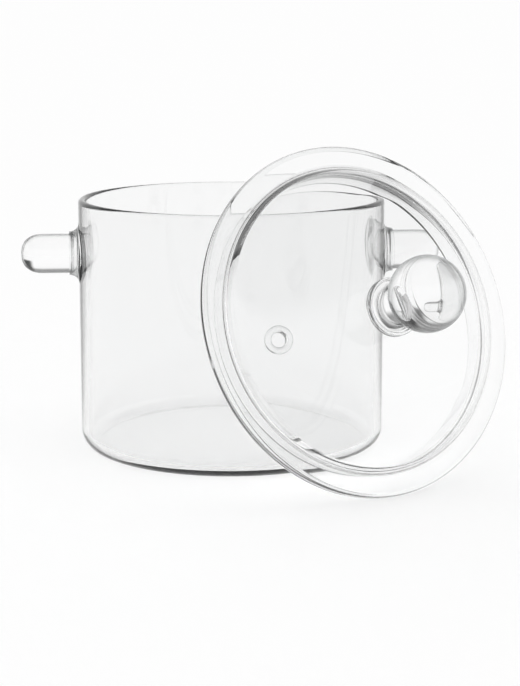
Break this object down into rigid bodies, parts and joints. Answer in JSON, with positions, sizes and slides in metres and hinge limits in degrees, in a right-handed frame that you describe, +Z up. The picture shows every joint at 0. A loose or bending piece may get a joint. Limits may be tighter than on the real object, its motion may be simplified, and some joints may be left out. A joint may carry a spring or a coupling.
{
  "type": "glass cooking pot",
  "caption": "Clear glass saucepan with straight walls, short solid rod handles and a domed glass lid with a ball knob, the lid standing on its rim in front of the pot and leaning back on its lip.",
  "frame": {"origin": "centre of the pot's flat base, on the surface it stands on", "axes": "+Z up along the pot's axis, +X from the left handle to the right one, -Y to the front, where the lid stands"},
  "size_m": [0.2454, 0.2345, 0.1635],
  "materials": {
    "pot_glass": "clear, fire polished",
    "lid_glass": "clear, fire polished",
    "rod_glass": "clear, fire polished",
    "ball_glass": "clear, fire polished",
    "collar_glass": "clear, fire polished weld",
    "vent_glass": "clear, fire polished"
  },
  "bodies": {
    "pot": {"pot_body": "pot_glass", "left_handle_rod": "rod_glass", "left_handle_collar": "collar_glass", "right_handle_rod": "rod_glass", "right_handle_collar": "collar_glass"},
    "lid": {"lid_shell": "lid_glass", "vent_ring": "vent_glass", "knob_collar": "collar_glass", "knob_neck": "rod_glass", "knob_ball": "ball_glass"}
  },
  "joints": [
    {"name": "lid_lift", "type": "slide", "parent": "pot", "child": "lid", "axis": [0, 0, 1], "range_m": [0, 0.17]}
  ]
}
